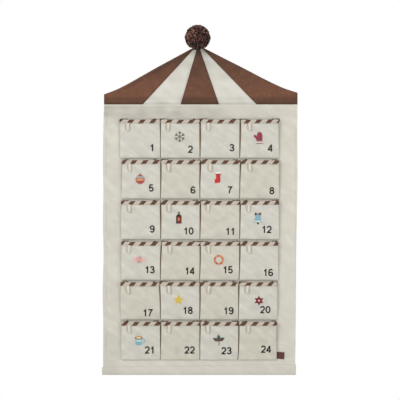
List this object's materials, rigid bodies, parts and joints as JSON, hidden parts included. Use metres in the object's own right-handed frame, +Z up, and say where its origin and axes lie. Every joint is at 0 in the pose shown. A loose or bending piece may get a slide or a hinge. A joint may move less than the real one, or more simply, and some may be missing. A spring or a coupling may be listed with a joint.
{
  "type": "hanging advent calendar",
  "caption": "House-shaped canvas wall hanging with rows of numbered pockets, a striped roof of brown and cream gores, striped bindings and a yarn pom-pom at its apex.",
  "frame": {"origin": "top of the inside of the hanging loop, where the hook bears, on the wall's plane", "axes": "+Z up, +X to the viewer's right, and the pockets face -Y; +Y points into the wall"},
  "size_m": [0.504, 0.0615, 0.9057],
  "materials": {
    "panel_canvas": "undyed cotton canvas, plain weave, matt",
    "cream_canvas": "cream cotton canvas, plain weave, matt",
    "brown_canvas": "brown cotton canvas, plain weave, matt",
    "pocket_canvas": "pale cotton canvas, plain weave, softly creased",
    "striped_tape": "folded bias tape, cream with slanting brown stripes",
    "brown_yarn": "dark brown yarn, trimmed to a ball",
    "cotton_tape": "woven cream cotton tape",
    "beech": "sanded beech rod, unfinished",
    "woven_label": "dark red-brown woven tab, bare"
  },
  "bodies": {
    "cloth": {"backing_panel": "panel_canvas", "roof_gore_1": "brown_canvas", "roof_gore_2": "cream_canvas", "roof_gore_3": "brown_canvas", "roof_gore_4": "cream_canvas", "roof_gore_5": "brown_canvas", "upper_sleeve": "panel_canvas", "hanging_loop": "cotton_tape", "label": "woven_label"},
    "pocket_01": {"pocket_01": "pocket_canvas", "binding_01": "striped_tape"},
    "pocket_02": {"pocket_02": "pocket_canvas", "binding_02": "striped_tape"},
    "pocket_03": {"pocket_03": "pocket_canvas", "binding_03": "striped_tape"},
    "pocket_04": {"pocket_04": "pocket_canvas", "binding_04": "striped_tape"},
    "pocket_05": {"pocket_05": "pocket_canvas", "binding_05": "striped_tape"},
    "pocket_06": {"pocket_06": "pocket_canvas", "binding_06": "striped_tape"},
    "pocket_07": {"pocket_07": "pocket_canvas", "binding_07": "striped_tape"},
    "pocket_08": {"pocket_08": "pocket_canvas", "binding_08": "striped_tape"},
    "pocket_09": {"pocket_09": "pocket_canvas", "binding_09": "striped_tape"},
    "pocket_10": {"pocket_10": "pocket_canvas", "binding_10": "striped_tape"},
    "pocket_11": {"pocket_11": "pocket_canvas", "binding_11": "striped_tape"},
    "pocket_12": {"pocket_12": "pocket_canvas", "binding_12": "striped_tape"},
    "pocket_13": {"pocket_13": "pocket_canvas", "binding_13": "striped_tape"},
    "pocket_14": {"pocket_14": "pocket_canvas", "binding_14": "striped_tape"},
    "pocket_15": {"pocket_15": "pocket_canvas", "binding_15": "striped_tape"},
    "pocket_16": {"pocket_16": "pocket_canvas", "binding_16": "striped_tape"},
    "pocket_17": {"pocket_17": "pocket_canvas", "binding_17": "striped_tape"},
    "pocket_18": {"pocket_18": "pocket_canvas", "binding_18": "striped_tape"},
    "pocket_19": {"pocket_19": "pocket_canvas", "binding_19": "striped_tape"},
    "pocket_20": {"pocket_20": "pocket_canvas", "binding_20": "striped_tape"},
    "pocket_21": {"pocket_21": "pocket_canvas", "binding_21": "striped_tape"},
    "pocket_22": {"pocket_22": "pocket_canvas", "binding_22": "striped_tape"},
    "pocket_23": {"pocket_23": "pocket_canvas", "binding_23": "striped_tape"},
    "pocket_24": {"pocket_24": "pocket_canvas", "binding_24": "striped_tape"},
    "pompom": {"pompom": "brown_yarn"},
    "upper_dowel": {"upper_dowel": "beech"},
    "lower_dowel": {"lower_dowel": "beech"}
  },
  "joints": [
    {"name": "pocket_01_open", "type": "hinge", "parent": "cloth", "child": "pocket_01", "pos_m": [-0.1484, -0.0128, -0.3133], "axis": [1, 0, 0], "range_deg": [0, 16], "stiffness_Nm_per_rad": 0.02, "springref_deg": -5.73},
    {"name": "pocket_02_open", "type": "hinge", "parent": "cloth", "child": "pocket_02", "pos_m": [-0.0462, -0.0128, -0.3133], "axis": [1, 0, 0], "range_deg": [0, 16], "stiffness_Nm_per_rad": 0.02, "springref_deg": -5.73},
    {"name": "pocket_03_open", "type": "hinge", "parent": "cloth", "child": "pocket_03", "pos_m": [0.056, -0.0128, -0.3133], "axis": [1, 0, 0], "range_deg": [0, 16], "stiffness_Nm_per_rad": 0.02, "springref_deg": -5.73},
    {"name": "pocket_04_open", "type": "hinge", "parent": "cloth", "child": "pocket_04", "pos_m": [0.1582, -0.0128, -0.3133], "axis": [1, 0, 0], "range_deg": [0, 16], "stiffness_Nm_per_rad": 0.02, "springref_deg": -5.73},
    {"name": "pocket_05_open", "type": "hinge", "parent": "cloth", "child": "pocket_05", "pos_m": [-0.1484, -0.0128, -0.4183], "axis": [1, 0, 0], "range_deg": [0, 16], "stiffness_Nm_per_rad": 0.02, "springref_deg": -5.73},
    {"name": "pocket_06_open", "type": "hinge", "parent": "cloth", "child": "pocket_06", "pos_m": [-0.0462, -0.0128, -0.4183], "axis": [1, 0, 0], "range_deg": [0, 16], "stiffness_Nm_per_rad": 0.02, "springref_deg": -5.73},
    {"name": "pocket_07_open", "type": "hinge", "parent": "cloth", "child": "pocket_07", "pos_m": [0.056, -0.0128, -0.4183], "axis": [1, 0, 0], "range_deg": [0, 16], "stiffness_Nm_per_rad": 0.02, "springref_deg": -5.73},
    {"name": "pocket_08_open", "type": "hinge", "parent": "cloth", "child": "pocket_08", "pos_m": [0.1582, -0.0128, -0.4183], "axis": [1, 0, 0], "range_deg": [0, 16], "stiffness_Nm_per_rad": 0.02, "springref_deg": -5.73},
    {"name": "pocket_09_open", "type": "hinge", "parent": "cloth", "child": "pocket_09", "pos_m": [-0.1484, -0.0128, -0.5233], "axis": [1, 0, 0], "range_deg": [0, 16], "stiffness_Nm_per_rad": 0.02, "springref_deg": -5.73},
    {"name": "pocket_10_open", "type": "hinge", "parent": "cloth", "child": "pocket_10", "pos_m": [-0.0462, -0.0128, -0.5233], "axis": [1, 0, 0], "range_deg": [0, 16], "stiffness_Nm_per_rad": 0.02, "springref_deg": -5.73},
    {"name": "pocket_11_open", "type": "hinge", "parent": "cloth", "child": "pocket_11", "pos_m": [0.056, -0.0128, -0.5233], "axis": [1, 0, 0], "range_deg": [0, 16], "stiffness_Nm_per_rad": 0.02, "springref_deg": -5.73},
    {"name": "pocket_12_open", "type": "hinge", "parent": "cloth", "child": "pocket_12", "pos_m": [0.1582, -0.0128, -0.5233], "axis": [1, 0, 0], "range_deg": [0, 16], "stiffness_Nm_per_rad": 0.02, "springref_deg": -5.73},
    {"name": "pocket_13_open", "type": "hinge", "parent": "cloth", "child": "pocket_13", "pos_m": [-0.1484, -0.0128, -0.6283], "axis": [1, 0, 0], "range_deg": [0, 16], "stiffness_Nm_per_rad": 0.02, "springref_deg": -5.73},
    {"name": "pocket_14_open", "type": "hinge", "parent": "cloth", "child": "pocket_14", "pos_m": [-0.0462, -0.0128, -0.6283], "axis": [1, 0, 0], "range_deg": [0, 16], "stiffness_Nm_per_rad": 0.02, "springref_deg": -5.73},
    {"name": "pocket_15_open", "type": "hinge", "parent": "cloth", "child": "pocket_15", "pos_m": [0.056, -0.0128, -0.6283], "axis": [1, 0, 0], "range_deg": [0, 16], "stiffness_Nm_per_rad": 0.02, "springref_deg": -5.73},
    {"name": "pocket_16_open", "type": "hinge", "parent": "cloth", "child": "pocket_16", "pos_m": [0.1582, -0.0128, -0.6283], "axis": [1, 0, 0], "range_deg": [0, 16], "stiffness_Nm_per_rad": 0.02, "springref_deg": -5.73},
    {"name": "pocket_17_open", "type": "hinge", "parent": "cloth", "child": "pocket_17", "pos_m": [-0.1484, -0.0128, -0.7333], "axis": [1, 0, 0], "range_deg": [0, 16], "stiffness_Nm_per_rad": 0.02, "springref_deg": -5.73},
    {"name": "pocket_18_open", "type": "hinge", "parent": "cloth", "child": "pocket_18", "pos_m": [-0.0462, -0.0128, -0.7333], "axis": [1, 0, 0], "range_deg": [0, 16], "stiffness_Nm_per_rad": 0.02, "springref_deg": -5.73},
    {"name": "pocket_19_open", "type": "hinge", "parent": "cloth", "child": "pocket_19", "pos_m": [0.056, -0.0128, -0.7333], "axis": [1, 0, 0], "range_deg": [0, 16], "stiffness_Nm_per_rad": 0.02, "springref_deg": -5.73},
    {"name": "pocket_20_open", "type": "hinge", "parent": "cloth", "child": "pocket_20", "pos_m": [0.1582, -0.0128, -0.7333], "axis": [1, 0, 0], "range_deg": [0, 16], "stiffness_Nm_per_rad": 0.02, "springref_deg": -5.73},
    {"name": "pocket_21_open", "type": "hinge", "parent": "cloth", "child": "pocket_21", "pos_m": [-0.1484, -0.0128, -0.8383], "axis": [1, 0, 0], "range_deg": [0, 16], "stiffness_Nm_per_rad": 0.02, "springref_deg": -5.73},
    {"name": "pocket_22_open", "type": "hinge", "parent": "cloth", "child": "pocket_22", "pos_m": [-0.0462, -0.0128, -0.8383], "axis": [1, 0, 0], "range_deg": [0, 16], "stiffness_Nm_per_rad": 0.02, "springref_deg": -5.73},
    {"name": "pocket_23_open", "type": "hinge", "parent": "cloth", "child": "pocket_23", "pos_m": [0.056, -0.0128, -0.8383], "axis": [1, 0, 0], "range_deg": [0, 16], "stiffness_Nm_per_rad": 0.02, "springref_deg": -5.73},
    {"name": "pocket_24_open", "type": "hinge", "parent": "cloth", "child": "pocket_24", "pos_m": [0.1582, -0.0128, -0.8383], "axis": [1, 0, 0], "range_deg": [0, 16], "stiffness_Nm_per_rad": 0.02, "springref_deg": -5.73},
    {"name": "pompom_sway", "type": "hinge", "parent": "cloth", "child": "pompom", "pos_m": [0, -0.0142, -0.025], "axis": [0, 1, 0], "range_deg": [-15, 15], "stiffness_Nm_per_rad": 0.2},
    {"name": "upper_dowel_slide", "type": "slide", "parent": "cloth", "child": "upper_dowel", "axis": [1, 0, 0], "range_m": [0, 0.47]},
    {"name": "lower_dowel_slide", "type": "slide", "parent": "cloth", "child": "lower_dowel", "axis": [1, 0, 0], "range_m": [0, 0.47]}
  ]
}
